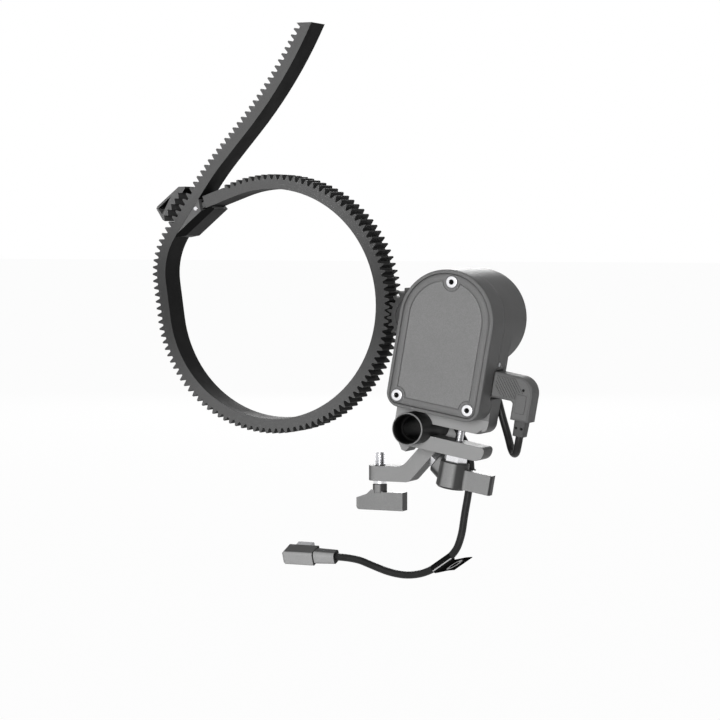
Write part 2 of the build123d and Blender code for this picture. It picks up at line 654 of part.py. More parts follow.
with BuildPart() as rear_case:
    with BuildSketch(unit_plane(CASE_SEAM)):
        add(foot_outline.sketch)
    extrude(amount=-(CASE_BACK - CASE_SEAM))
    with BuildSketch(unit_plane(CASE_BACK)):
        Circle(CASE_RADIUS)
    extrude(amount=-(MOTOR_BACK - CASE_BACK))
    # shallow front room, gearbox bore and motor room
    with BuildSketch(unit_plane(CASE_SEAM)):
        add(arch(CASE_WALL))
    extrude(amount=-(FLOOR_FRONT - CASE_SEAM), mode=Mode.SUBTRACT)
    with BuildSketch(unit_plane(CASE_SEAM)):
        Circle(GEARBOX_RADIUS + RUN_FIT)
    extrude(amount=-(CASE_BACK - CASE_SEAM), mode=Mode.SUBTRACT)
    with BuildSketch(unit_plane(CASE_BACK)):
        Circle(CASE_RADIUS - CASE_WALL)
    extrude(amount=-(MOTOR_BACK - CASE_BACK), mode=Mode.SUBTRACT)
    # bosses for the cap's screws, clear of the motor
    with BuildSketch(unit_plane(MOTOR_BACK - CAP_BOSS)):
        with PolarLocations(CAP_SCREW_R, 3, start_angle=90):
            Circle(1.7)
        with PolarLocations(CAP_SCREW_R, 3, start_angle=90):
            Circle(CAP_SCREW_SHANK, mode=Mode.SUBTRACT)
    extrude(amount=-CAP_BOSS)
    add(round_bar(GEAR_UV, CASE_SEAM, WINDOW_HALF, WINDOW_RADIUS), mode=Mode.SUBTRACT)
    add(round_bar(GEAR_UV, CASE_SEAM, FLOOR_FRONT, NECK_ROOM), mode=Mode.SUBTRACT)
    with BuildSketch(unit_plane(CASE_SEAM)):
        with Locations(GEAR_UV):
            Circle(BUSH_RADIUS)
    extrude(amount=-(CASE_BACK - 2.2 - CASE_SEAM), mode=Mode.SUBTRACT)
    # clamp bolt hole, up through both lips
    bolt_foot = unit_point(bolt_uv[0], bolt_uv[1] - JAW_DROP, bolt_depth)
    with BuildSketch(Plane(bolt_foot, x_dir=(0, 1, 0), z_dir=(UP[0], 0, UP[1]))):
        Circle(BOLT_RADIUS + RUN_FIT)
    extrude(amount=JAW_DROP + 5.5, mode=Mode.SUBTRACT)
    with BuildSketch(side_plane(CASE_RADIUS, *SOCKET_AT)):
        Rectangle(RECESS, RECESS)
    extrude(amount=-1.2, mode=Mode.SUBTRACT)
    with BuildSketch(side_plane(CASE_RADIUS, *SOCKET_AT)):
        Rectangle(SOCKET[0] + 0.2, SOCKET[1] + 0.2)
    extrude(amount=-6.0, mode=Mode.SUBTRACT)
    with BuildSketch(side_plane(CASE_RADIUS, *LED_AT)):
        Circle(0.75 + RUN_FIT)
    extrude(amount=-3.0, mode=Mode.SUBTRACT)
saved(rear_case.part, "rear_case")

CAP_THICK = 1.8
with BuildPart() as rear_cap:
    with BuildSketch(unit_plane(MOTOR_BACK)):
        Circle(CASE_RADIUS)
    extrude(amount=-CAP_THICK)
    fillet(rear_cap.edges().group_by(Axis.Y)[-1], 0.9)
    with BuildSketch(unit_plane(MOTOR_BACK)):
        with PolarLocations(CAP_SCREW_R, 3, start_angle=90):
            Circle(CAP_SCREW_SHANK + RUN_FIT)
    extrude(amount=-CAP_THICK, mode=Mode.SUBTRACT)
    with BuildSketch(unit_plane(MOTOR_BACK + CAP_THICK - 1.0)):
        with PolarLocations(CAP_SCREW_R, 3, start_angle=90):
            Circle(1.6)
    extrude(amount=-1.0, mode=Mode.SUBTRACT)
saved(rear_cap.part, "rear_cap")

with BuildPart() as cap_screws:
    with BuildSketch(unit_plane(MOTOR_BACK + CAP_THICK - 1.0)):
        with PolarLocations(CAP_SCREW_R, 3, start_angle=90):
            Circle(1.5)
    extrude(amount=-0.9)
    with BuildSketch(unit_plane(MOTOR_BACK - 3.0)):
        with PolarLocations(CAP_SCREW_R, 3, start_angle=90):
            Circle(CAP_SCREW_SHANK)
    extrude(amount=-(CAP_THICK + 2.0))
    with BuildSketch(unit_plane(MOTOR_BACK + CAP_THICK - 0.6)):
        with PolarLocations(CAP_SCREW_R, 3, start_angle=90):
            RegularPolygon(0.7, 6)
    extrude(amount=-0.6, mode=Mode.SUBTRACT)
saved(cap_screws.part, "cap_screws")

BOARD_THICK = 1.2
BOARD_HEIGHT = 11.2
BOARD_GAP = 1.7             # board to the case walls
BOARD_AT = -24.6
with BuildPart() as circuit_board:
    with BuildSketch(unit_plane(CASE_SEAM)):
        with Locations((0, BOARD_AT)):
            RectangleRounded(2 * (CASE_RADIUS - CASE_WALL - BOARD_GAP), BOARD_HEIGHT, 1.0)
    extrude(amount=-BOARD_THICK)
saved(circuit_board.part, "circuit_board")


SOCKET_FACE = CASE_RADIUS - 1.2
SHELL = (1.7, 6.6)
with BuildPart() as usb_socket:
    with BuildSketch(side_plane(SOCKET_FACE, SOCKET_AT[0], SOCKET_AT[1])):
        RectangleRounded(*SOCKET, 0.6)
    extrude(amount=-4.8)
    with BuildSketch(side_plane(SOCKET_FACE, SOCKET_AT[0], SOCKET_AT[1])):
        Rectangle(SHELL[0] + 0.3, SHELL[1] + 0.3)
    extrude(amount=-4.3, mode=Mode.SUBTRACT)
saved(usb_socket.part, "usb_socket")

with BuildPart() as indicator_lens:
    with BuildSketch(side_plane(CASE_RADIUS + 0.1, *LED_AT)):
        Circle(0.75)
    extrude(amount=-2.6)
    fillet(indicator_lens.edges().group_by(Axis.X)[-1], 0.15)
saved(indicator_lens.part, "indicator_lens")

# ---- support tube ----
with BuildPart() as tube:
    with BuildSketch(front_plane(TUBE_XZ[0], TUBE_XZ[1], TUBE_FRONT)):
        Circle(TUBE_RADIUS)
        Circle(TUBE_BORE, mode=Mode.SUBTRACT)
    extrude(amount=-TUBE_LENGTH)
    for mouth in (TUBE_FRONT, TUBE_FRONT + TUBE_LENGTH - TUBE_MOUTH):
        with BuildSketch(front_plane(TUBE_XZ[0], TUBE_XZ[1], mouth)):
            Circle(TUBE_RADIUS - TUBE_WALL)
        extrude(amount=-TUBE_MOUTH, mode=Mode.SUBTRACT)
    chamfer(tube.edges().filter_by(GeomType.CIRCLE), 0.3)
saved(tube.part, "tube")

# ---- wing knobs on the clamp bolts ----
COLLAR_FLATS = 7.4
COLLAR_HIGH = 2.2
HUB_HIGH = 11.8
HUB_R = 5.3
WING_REACH = 15.2
WING_THICK = 4.2
WING_LOW, WING_HIGH = 4.3, 11.3
BOLT_IN_HUB = 8.0


def wing_knob():
    """Plastic wing knob on its own axis: hub along z, wing toward x."""
    with BuildPart() as knob:
        with BuildSketch(Plane.XZ):
            with BuildLine():
                Polyline(
                    (0, COLLAR_HIGH), (HUB_R - 0.5, COLLAR_HIGH), (HUB_R - 0.1, COLLAR_HIGH + 0.4),
                    (HUB_R + 0.2, HUB_HIGH - 0.7), (HUB_R - 0.5, HUB_HIGH), (0, HUB_HIGH), close=True,
                )
            make_face()
        revolve(axis=Axis.Z)
        with BuildSketch(Plane.XY.offset(WING_LOW)) as plan:
            Circle(HUB_R - 0.15)
            with Locations((WING_REACH / 2, 0)):
                Rectangle(WING_REACH, WING_THICK)
            inner = plan.vertices().filter_by(lambda v: abs(v.X) < HUB_R and abs(v.Y) < WING_THICK)
            fillet(inner, 2.6)
            fillet(plan.vertices().group_by(Axis.X)[-1], 1.0)
        extrude(amount=WING_HIGH - WING_LOW)
        with BuildSketch(Plane.XY.offset(COLLAR_HIGH)):
            Circle(BOLT_RADIUS)
        extrude(amount=BOLT_IN_HUB - COLLAR_HIGH, mode=Mode.SUBTRACT)
    return knob.part


def hex_collar():
    with BuildPart() as collar:
        with BuildSketch(Plane.XY):
            RegularPolygon(COLLAR_FLATS / 2, 6, major_radius=False)
            Circle(BOLT_RADIUS, mode=Mode.SUBTRACT)
        extrude(amount=COLLAR_HIGH)
    return collar.part


def clamp_bolt(reach):
    with BuildPart() as bolt:
        with BuildSketch(Plane.XY.offset(-reach)):
            Circle(BOLT_RADIUS)
        extrude(amount=reach + BOLT_IN_HUB)
        chamfer(bolt.edges().group_by(Axis.Z)[0], 0.3)
    return bolt.part


def clamp_set(name, seat, reach):
    """Knob, collar and bolt seated on one clamp face."""
    saved(wing_knob().moved(seat.location), f"{name}_wing_knob")
    saved(hex_collar().moved(seat.location), f"{name}_collar")
    saved(clamp_bolt(reach).moved(seat.location), f"{name}_clamp_bolt")


front_seat = Plane(
    unit_point(bolt_uv[0], bolt_uv[1] - JAW_DROP, bolt_depth),
    x_dir=(RIGHT[0], 0, RIGHT[1]), z_dir=(-UP[0], 0, -UP[1]),
)
clamp_set("front", front_seat, JAW_DROP + 5.0)

# ---- Z-shaped arm ----
ARM_ALONG = (-cos(radians(ARM_SLOPE)), -sin(radians(ARM_SLOPE)))     # down the diagonal
ARM_ACROSS = (-sin(radians(ARM_SLOPE)), cos(radians(ARM_SLOPE)))     # up and left of it
STRUT_LOW = -7.0
JAW_HIGH = 6.6
arm_y = BELT_Y + ARM_FRONT + ARM_DEPTH / 2
slit_low, slit_high = -ARM_SLIT / 2, ARM_SLIT / 2
bar_top, bar_low = -LENS_AT[1], -LENS_AT[1] - ARM_BAR
ARM_CORNER_TOP, ARM_CORNER_LOW = 6.0, 3.0


def arm_point(along, across):
    """Lens-frame point of a place on the diagonal, from the tube axis."""
    return (
        TUBE_XZ[0] + along * ARM_ALONG[0] + across * ARM_ACROSS[0],
        TUBE_XZ[1] + along * ARM_ALONG[1] + across * ARM_ACROSS[1],
    )


def arm_meets(across, z):
    """Where a line along the diagonal crosses height z."""
    x0, z0 = arm_point(0, across)
    return x0 + (z - z0) * ARM_ALONG[0] / ARM_ALONG[1], z


with BuildPart() as arm:
    with BuildSketch(lens_plane(ARM_FRONT)) as arm_outline:
        with BuildLine():
            Polyline(
                arm_point(0, STRUT_LOW), arm_meets(STRUT_LOW, bar_low), (-LENS_AT[0], bar_low),
                (-LENS_AT[0], bar_top), arm_meets(slit_low, bar_top), arm_point(0, slit_low), close=True,
            )
        make_face()
        top_corner = arm_outline.vertices().sort_by_distance((*arm_meets(slit_low, bar_top), 0))[0]
        fillet(top_corner, ARM_CORNER_TOP)
        low_corner = arm_outline.vertices().sort_by_distance((*arm_meets(STRUT_LOW, bar_low), 0))[0]
        fillet(low_corner, ARM_CORNER_LOW)
        with BuildLine():
            Polyline(
                arm_point(0, JAW_HIGH), arm_point(ARM_JAW_END - 1.6, JAW_HIGH),
                arm_point(ARM_JAW_END, slit_high + 1.6), arm_point(ARM_JAW_END - 0.6, slit_high),
                arm_point(0, slit_high), close=True,
            )
        make_face()
        with Locations(arm_point(0, 0)):
            Circle(ARM_RING)
            Circle(TUBE_RADIUS + RUN_FIT, mode=Mode.SUBTRACT)
        with BuildLine():
            Polyline(
                arm_point(0, slit_low), arm_point(0, slit_high), arm_point(ARM_JAW_END + 1, slit_high),
                arm_point(ARM_JAW_END + 1, slit_low), close=True,
            )
        make_face(mode=Mode.SUBTRACT)
    extrude(amount=-ARM_DEPTH)
    # round end about the thumb screw
    with BuildSketch(Plane.XY.offset(-ARM_BAR)):
        with Locations((0, arm_y)):
            Circle(ARM_DEPTH / 2)
    extrude(amount=ARM_BAR)
    with BuildSketch(Plane.XY.offset(-ARM_BAR)):
        with Locations((0, arm_y)):
            Circle(STUD_RADIUS + RUN_FIT)
    extrude(amount=ARM_BAR, mode=Mode.SUBTRACT)
    bolt_x, bolt_z = arm_point(ARM_BOLT_AT, STRUT_LOW)
    rear_seat = Plane(
        (LENS_AT[0] + bolt_x, arm_y, LENS_AT[1] + bolt_z),
        x_dir=(0, 1, 0), z_dir=(-ARM_ACROSS[0], 0, -ARM_ACROSS[1]),
    )
    with BuildSketch(rear_seat):
        Circle(BOLT_RADIUS + RUN_FIT)
    extrude(amount=-(JAW_HIGH - STRUT_LOW), mode=Mode.SUBTRACT)
    # spot face for the collar
    with BuildSketch(rear_seat):
        Circle(COLLAR_FLATS / 2 + 1.0)
    extrude(amount=ARM_RING, mode=Mode.SUBTRACT)
saved(arm.part, "arm")
clamp_set("rear", rear_seat, JAW_HIGH - STRUT_LOW - 0.8)

# ---- thumb screw under the arm ----
STUD_COLLAR = (2.4, 1.4)        # radius, height
NECK_R, NECK_LOW = 2.6, -10.0
BASE_WING = (
    (2.6, -9.7), (9.9, -9.7), (9.9, -16.3), (-8.4, -16.3),
    (-8.4, -12.0), (-4.3, -10.5), (-2.6, -8.9), (-1.0, -8.9),
)
BASE_WING_THICK = 4.4
STUD_ROOT_R = 1.5
STUD_ROOT_LOW = -13.4
collar_low = -ARM_BAR - STUD_COLLAR[1]

with BuildPart() as base_stud:
    for low, high, radius in (
        (0, STUD_REACH, STUD_RADIUS), (-ARM_BAR, 0, STUD_NECK),
        (collar_low, -ARM_BAR, STUD_COLLAR[0]), (STUD_ROOT_LOW, collar_low, STUD_ROOT_R),
    ):
        with BuildSketch(Plane.XY.offset(low)):
            with Locations((0, arm_y)):
                Circle(radius)
        extrude(amount=high - low)
    chamfer(base_stud.edges().group_by(Axis.Z)[-1], 0.4)
saved(base_stud.part, "base_stud")

wing_plane = Plane((0, arm_y - BASE_WING_THICK / 2, 0), x_dir=(1, 0, 0), z_dir=(0, -1, 0))

with BuildPart() as base_wing_knob:
    with BuildSketch(wing_plane) as base_wing:
        with BuildLine():
            Polyline(*BASE_WING, close=True)
        make_face()
        fillet(base_wing.vertices().sort_by_distance((*BASE_WING[3], 0))[0], 1.2)
    extrude(amount=-BASE_WING_THICK)
    with BuildSketch(Plane.XY.offset(NECK_LOW)):
        with Locations((0, arm_y)):
            Circle(NECK_R)
    extrude(amount=collar_low - NECK_LOW)
    with BuildSketch(Plane.XY.offset(STUD_ROOT_LOW)):
        with Locations((0, arm_y)):
            Circle(STUD_ROOT_R)
    extrude(amount=collar_low - STUD_ROOT_LOW, mode=Mode.SUBTRACT)
saved(base_wing_knob.part, "base_wing_knob")

# ---- cable and its plugs ----
# chosen by hand from the angled plug's boot to the straight plug's neck
CABLE_ROUTE = [
    (60.56, -16.7, 13.81), (59.94, -16.7, 10.26), (58.2, -14.2, 7.0), (55.5, -11.0, 7.6),
    (53.2, -8.7, 12.9), (50.4, -7.6, 20.2), (48.4, -7.5, 27.6), (43.6, -7.5, 33.4),
    (36.1, -7.5, 33.9), (30.4, -7.5, 29.2), (29.8, -7.5, 21.6), (33.6, -7.5, 14.6),
    (37.8, -7.5, 7.7), (38.9, -7.5, 0.0), (37.7, -7.5, -8.2), (36.2, -7.5, -16.1),
    (35.2, -7.5, -23.3), (32.5, -7.5, -30.1), (23.2, -7.5, -36.7), (15.2, -7.5, -38.8),
    (7.4, -7.5, -38.1), (0.2, -7.5, -35.8), (-6.6, -7.5, -33.5), (-14.0, -7.5, -33.5),
]
CORNER_SHARE = 0.45         # part of the shorter run that each arc takes

corner_radii = []
for before, here, after in zip(CABLE_ROUTE, CABLE_ROUTE[1:], CABLE_ROUTE[2:]):
    run_in, run_out = Vector(*here) - Vector(*before), Vector(*after) - Vector(*here)
    turn = run_in.get_angle(run_out)
    corner_radii.append(CORNER_SHARE * min(run_in.length, run_out.length) / tan(radians(turn / 2)))
print("cable radii", [round(radius, 1) for radius in corner_radii])

with BuildPart() as cable:
    with BuildLine() as cable_path:
        FilletPolyline(*CABLE_ROUTE, radius=corner_radii)
    with BuildSketch(Plane(cable_path.line @ 0, z_dir=cable_path.line % 0)):
        Circle(CABLE_RADIUS)
    sweep(path=cable_path.line)
cable_length = sum(edge.length for edge in cable_path.edges())
section_volume = pi * CABLE_RADIUS ** 2 * cable_length
print("cable length", round(cable_length, 1), "volume share", round(cable.part.volume / section_volume, 4))
saved(cable.part, "cable")

PLUG_THICK = 8.0
PLUG_ABOVE, PLUG_BELOW = 4.8, 4.15      # from the socket's middle
PLUG_REACH = 31.9           # outer side of the elbow from the arch's centre line
PLUG_DROP = -30.5
BOOT_AT = 28.6
BOOT_LOW = -36.0
plug_top = SOCKET_AT[0] + PLUG_ABOVE
plug_low = SOCKET_AT[0] - PLUG_BELOW
plug_face = SOCKET_FACE + RUN_FIT
ELBOW_WIDE = 6.6
GRIP_RIBS = 10
GRIP_PITCH = 1.05
GRIP_SLANT = 38.0
GRIP_LEFT = 18.2
GRIP_PROUD = 0.25
PAD_AT = (BOOT_AT - 0.2, SOCKET_AT[0] - 4.6)
PAD = (3.6, 6.6)

with BuildPart() as angled_plug_body:
    with BuildSketch(unit_plane(SOCKET_AT[1] - PLUG_THICK / 2)) as elbow:
        with BuildLine():
            Polyline(
                (plug_face, plug_low), (plug_face, plug_top), (PLUG_REACH, plug_top),
                (PLUG_REACH, PLUG_DROP), (PLUG_REACH - ELBOW_WIDE, PLUG_DROP),
                (PLUG_REACH - ELBOW_WIDE, plug_low), close=True,
            )
        make_face()
        fillet(elbow.vertices().sort_by_distance((PLUG_REACH, plug_top, 0))[0], 6.0)
        fillet(elbow.vertices().sort_by_distance((PLUG_REACH - ELBOW_WIDE, plug_low, 0))[0], 1.2)
    extrude(amount=-PLUG_THICK)
    by_depth = angled_plug_body.edges().group_by(Axis.Y)
    chamfer(by_depth[0] + by_depth[-1], 0.6)
    # slanting grip ribs and a plain raised pad on the front
    with BuildSketch(unit_plane(SOCKET_AT[1] - PLUG_THICK / 2 - GRIP_PROUD)):
        for rib in range(GRIP_RIBS):
            with Locations(Location((GRIP_LEFT + rib * GRIP_PITCH, SOCKET_AT[0]), GRIP_SLANT)):
                Rectangle(GRIP_PITCH / 2, 4 * PLUG_ABOVE)
        with Locations(((GRIP_LEFT + PLUG_REACH - 3.4) / 2, (plug_top + plug_low) / 2)):
            Rectangle(PLUG_REACH - 3.4 - GRIP_LEFT, plug_top - plug_low - 2.0, mode=Mode.INTERSECT)
        with Locations(PAD_AT):
            RectangleRounded(PAD[0] + 0.9, PAD[1] + 0.9, 0.8, mode=Mode.SUBTRACT)
            RectangleRounded(*PAD, 0.6)
    extrude(amount=-2 * GRIP_PROUD)
saved(angled_plug_body.part, "angled_plug_body")

boot_plane = Plane(
    unit_point(BOOT_AT, PLUG_DROP, SOCKET_AT[1]),
    x_dir=(RIGHT[0], 0, RIGHT[1]), z_dir=(-UP[0], 0, -UP[1]),
)
with BuildPart() as angled_plug_boot:
    with BuildSketch(boot_plane):
        RectangleRounded(4.4, 5.6, 1.2)
    extrude(amount=PLUG_DROP - BOOT_LOW, taper=2.0)
    # two flex holes
    with BuildSketch(unit_plane(SOCKET_AT[1] - 2.8)):
        with Locations((BOOT_AT - 1.0, PLUG_DROP - 2.6), (BOOT_AT + 1.1, PLUG_DROP - 2.6)):
            Circle(0.4)
    extrude(amount=-0.6, mode=Mode.SUBTRACT)
saved(angled_plug_boot.part, "angled_plug_boot")

with BuildPart() as angled_plug_shell:
    with BuildSketch(side_plane(plug_face, SOCKET_AT[0], SOCKET_AT[1])):
        RectangleRounded(*SHELL, 0.4)
    extrude(amount=-4.0)
saved(angled_plug_shell.part, "angled_plug_shell")

# straight plug, rolled about its cable so that its top leans forward
STRAIGHT_ROLL = 21.0
STRAIGHT_LONG, STRAIGHT_HIGH, STRAIGHT_WIDE = 12.3, 5.2, 7.0
STRAIGHT_NECK = 8.1
neck_end = CABLE_ROUTE[-1]
body_mid = neck_end[0] - STRAIGHT_NECK - STRAIGHT_LONG / 2
straight_face = Plane(
    (body_mid, neck_end[1], neck_end[2]), x_dir=(1, 0, 0),
    z_dir=(0, -cos(radians(STRAIGHT_ROLL)), -sin(radians(STRAIGHT_ROLL))),
)
neck_face = Plane(
    (neck_end[0] - STRAIGHT_NECK, neck_end[1], neck_end[2]), x_dir=straight_face.z_dir, z_dir=(1, 0, 0),
)
with BuildPart() as straight_plug_body:
    with BuildSketch(straight_face.offset(-STRAIGHT_WIDE / 2)):
        Rectangle(STRAIGHT_LONG, STRAIGHT_HIGH)
    extrude(amount=STRAIGHT_WIDE)
    fillet(straight_plug_body.edges().filter_by(Axis.X), 0.8)
    chamfer(straight_plug_body.edges().group_by(Axis.X)[0], 0.7)
    with BuildSketch(neck_face):
        RectangleRounded(5.4, 4.9, 1.6)
    extrude(amount=STRAIGHT_NECK, taper=2.0)
saved(straight_plug_body.part, "straight_plug_body")

with BuildPart() as straight_plug_shell:
    with BuildSketch(straight_face.offset(-STRAIGHT_WIDE / 2)):
        with Locations((-1.6, 0)):
            RectangleRounded(SHELL[1], SHELL[0], 0.4)
    extrude(amount=-5.0)
saved(straight_plug_shell.part, "straight_plug_shell")

# cable tag: a sleeve with a flag
tag_from, tag_to = Vector(*CABLE_ROUTE[17]), Vector(*CABLE_ROUTE[18])
tag_along = (tag_to - tag_from).normalized()
tag_mid = (tag_from + tag_to) / 2
TAG_LONG = 8.7
TAG_SLEEVE = 0.5
TAG_FIT = 0.15
TAG_FLAG = 16.0             # flag reaches back this far from the cable
TAG_TILT = 3.5              # degrees that the flag stands off level
TAG_LAP = 0.6
tag_side = Vector(-tag_along.Z, 0, tag_along.X)
sleeve_radius = CABLE_RADIUS + TAG_FIT + TAG_SLEEVE
with BuildPart() as cable_tag:
    with BuildSketch(Plane(tag_mid - tag_along * TAG_LONG / 2, z_dir=tag_along)):
        Circle(sleeve_radius)
    extrude(amount=TAG_LONG)
    flag_plane = Plane(tag_mid + tag_side * sleeve_radius, x_dir=tag_along, z_dir=tag_side)
    with BuildSketch(flag_plane.rotated((TAG_TILT, 0, 0))):
        with Locations((0, (TAG_FLAG - TAG_LAP) / 2)):
            Rectangle(TAG_LONG, TAG_FLAG + TAG_LAP)
    extrude(amount=-TAG_SLEEVE)
    with BuildSketch(Plane(tag_mid - tag_along * TAG_LONG / 2, z_dir=tag_along)):
        Circle(CABLE_RADIUS + TAG_FIT)
    extrude(amount=TAG_LONG, mode=Mode.SUBTRACT)
saved(cable_tag.part, "cable_tag")
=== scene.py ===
import math
import bpy
import bmesh
from mathutils import Matrix, Vector


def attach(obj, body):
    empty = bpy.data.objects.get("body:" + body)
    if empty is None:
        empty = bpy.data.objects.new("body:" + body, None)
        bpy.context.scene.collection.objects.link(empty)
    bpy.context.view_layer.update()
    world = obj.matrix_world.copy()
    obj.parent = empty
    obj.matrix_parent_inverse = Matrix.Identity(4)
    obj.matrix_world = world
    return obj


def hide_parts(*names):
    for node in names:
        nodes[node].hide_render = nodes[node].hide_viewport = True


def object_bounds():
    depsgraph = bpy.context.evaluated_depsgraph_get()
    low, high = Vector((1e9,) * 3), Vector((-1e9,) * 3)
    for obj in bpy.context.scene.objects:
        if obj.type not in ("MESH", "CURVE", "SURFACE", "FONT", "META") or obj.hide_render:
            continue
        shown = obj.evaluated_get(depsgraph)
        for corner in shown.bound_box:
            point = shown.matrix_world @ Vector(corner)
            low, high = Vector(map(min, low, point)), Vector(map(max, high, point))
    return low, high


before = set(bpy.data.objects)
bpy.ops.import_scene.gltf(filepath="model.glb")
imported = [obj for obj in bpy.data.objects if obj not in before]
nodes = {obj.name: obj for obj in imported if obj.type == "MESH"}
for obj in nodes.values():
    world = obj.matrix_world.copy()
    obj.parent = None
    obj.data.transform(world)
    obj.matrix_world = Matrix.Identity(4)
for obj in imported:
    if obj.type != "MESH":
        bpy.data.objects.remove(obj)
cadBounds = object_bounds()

scene = bpy.context.scene
mm = 0.001
millimetres = Matrix.Scale(mm, 4)                 # for meshes that are made in mm
lensAxis = Vector((-0.0308, -0.0215, 0.0588))     # lens axis at the middle of the belt
archCentre = Vector((0.0386495, -0.0215, 0.0542281))
lean = math.radians(10)                           # the motor unit leans clockwise over its tube
unitRight = Vector((math.cos(lean), 0, -math.sin(lean)))
unitUp = Vector((math.sin(lean), 0, math.cos(lean)))


def unitPoint(u, v, depth):                       # a place in the leaning motor unit, in mm
    return archCentre + (unitRight * u + unitUp * v + Vector((0, depth, 0))) * mm


camera = {                                        # angles in degrees, moves sideways and up in metres
    "azimuth": 24.5, "elevation": 3.0, "distance": 0.9, "focal": 125.1, "sensor": 36,
    "right": 0.0296898, "up": -0.0202361,
}
azimuth, elevation = math.radians(camera["azimuth"]), math.radians(camera["elevation"])
back = Vector((math.sin(azimuth) * math.cos(elevation), -math.cos(azimuth) * math.cos(elevation),
               math.sin(elevation)))
right = Vector((math.cos(azimuth), math.sin(azimuth), 0))
up = back.cross(right)
cameraData = bpy.data.cameras.new("studioCamera")
cameraData.lens = camera["focal"]
cameraData.sensor_width = camera["sensor"]
cameraData.clip_start = 0.01
cameraObject = bpy.data.objects.new("studioCamera", cameraData)
scene.collection.objects.link(cameraObject)
stand = lensAxis + back * camera["distance"] + right * camera["right"] + up * camera["up"]
cameraObject.matrix_world = Matrix.Translation(stand) @ Matrix((right, up, back)).transposed().to_4x4()
scene.camera = cameraObject
print("camera placed")

cable = {                                         # in mm, but its whole length in metres
    "radius": 1.35,
    "length": 0.165,
    "dark": 0.012, "light": 0.02, "rough": 0.4, "gloss": 0.2,
    "route": [
        (60.56, -16.7, 13.81), (59.94, -16.7, 10.26), (58.2, -14.2, 7.0), (55.5, -11.0, 7.6),
        (53.2, -8.7, 12.9), (50.4, -7.6, 20.2), (48.4, -7.5, 27.6), (43.6, -7.5, 33.4),
        (36.1, -7.5, 33.9), (30.4, -7.5, 29.2), (29.8, -7.5, 21.6), (33.6, -7.5, 14.6),
        (37.8, -7.5, 7.7), (38.9, -7.5, 0.0), (37.7, -7.5, -8.2), (36.2, -7.5, -16.1),
        (35.2, -7.5, -23.3), (32.5, -7.5, -30.1), (23.2, -7.5, -36.7), (15.2, -7.5, -38.8),
        (7.4, -7.5, -38.1), (0.2, -7.5, -35.8), (-6.6, -7.5, -33.5), (-14.0, -7.5, -33.5),
    ],
}
cableCurve = bpy.data.curves.new("cableCord", "CURVE")
cableCurve.dimensions = "3D"
cableCurve.bevel_depth = 1.0                      # times each knot's radius
cableCurve.bevel_resolution = 6
cableCurve.resolution_u = 14
cableCurve.use_fill_caps = True
spline = cableCurve.splines.new("NURBS")
spline.points.add(len(cable["route"]) - 1)
for knot, (x, y, z) in zip(spline.points, cable["route"]):
    knot.co = (x * mm, y * mm, z * mm, 1)
    knot.radius = cable["radius"] * mm
spline.order_u = 3
spline.use_endpoint_u = True
cableCord = bpy.data.objects.new("cableCord", cableCurve)
scene.collection.objects.link(cableCord)
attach(cableCord, "motor_unit")
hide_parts("cable")
print("cable laid")


class Wire:                                       # a shader socket that takes part in sums
    def __init__(self, look, socket):
        self.look, self.socket = look, socket

    def sum(self, operation, *parts):
        return self.look.node("ShaderNodeMath", {i: p for i, p in enumerate(parts)}, operation=operation)

    def __add__(self, other):
        return self.sum("ADD", self, other)

    def __radd__(self, other):
        return self.sum("ADD", other, self)

    def __sub__(self, other):
        return self.sum("SUBTRACT", self, other)

    def __rsub__(self, other):
        return self.sum("SUBTRACT", other, self)

    def __mul__(self, other):
        return self.sum("MULTIPLY", self, other)

    def __rmul__(self, other):
        return self.sum("MULTIPLY", other, self)

    def __truediv__(self, other):
        return self.sum("DIVIDE", self, other)

    def __pow__(self, other):
        return self.sum("POWER", self, other)

    def __gt__(self, other):
        return self.sum("GREATER_THAN", self, other)

    def __lt__(self, other):
        return self.sum("LESS_THAN", self, other)

    def __abs__(self):
        return self.sum("ABSOLUTE", self)

    def held(self):                               # kept between 0 and 1
        return self.look.node("ShaderNodeClamp", {"Value": self})

    def ease(self, low, high):                    # 0 below low, 1 above high
        return self.look.node("ShaderNodeMapRange", {"Value": self, "From Min": low, "From Max": high},
                              interpolation_type="SMOOTHSTEP", clamp=True)


